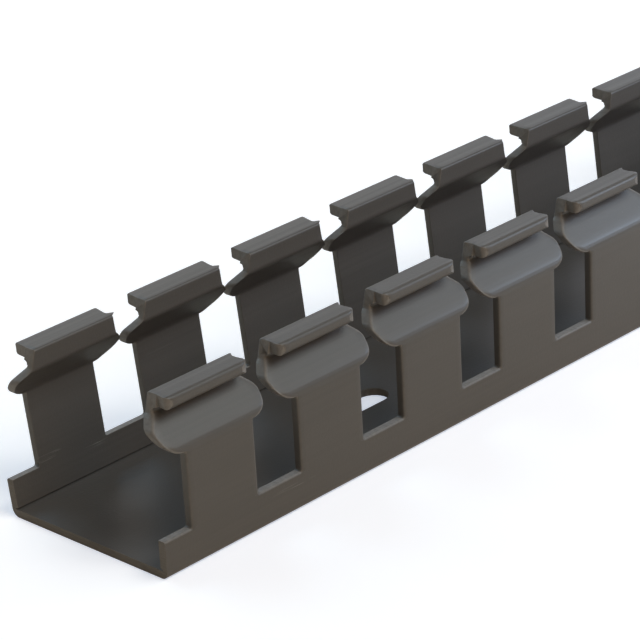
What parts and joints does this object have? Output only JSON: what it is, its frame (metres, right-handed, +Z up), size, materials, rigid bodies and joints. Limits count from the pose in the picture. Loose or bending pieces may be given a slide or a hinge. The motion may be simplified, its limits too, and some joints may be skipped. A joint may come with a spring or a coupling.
{
  "type": "slotted wire duct",
  "caption": "Straight open wiring duct with finger-slotted side walls, lips for a clip-on cover and slotted fixing holes in its floor.",
  "frame": {"origin": "on the underside, at the middle of the duct's length and width", "axes": "+X along the duct away from the cut end that the picture shows, +Y across it towards the far wall, +Z up out of the open side"},
  "size_m": [1, 0.034, 0.0245],
  "materials": {
    "duct_plastic": "satin"
  },
  "bodies": {
    "root": {"slotted_duct": "duct_plastic"}
  },
  "joints": []
}
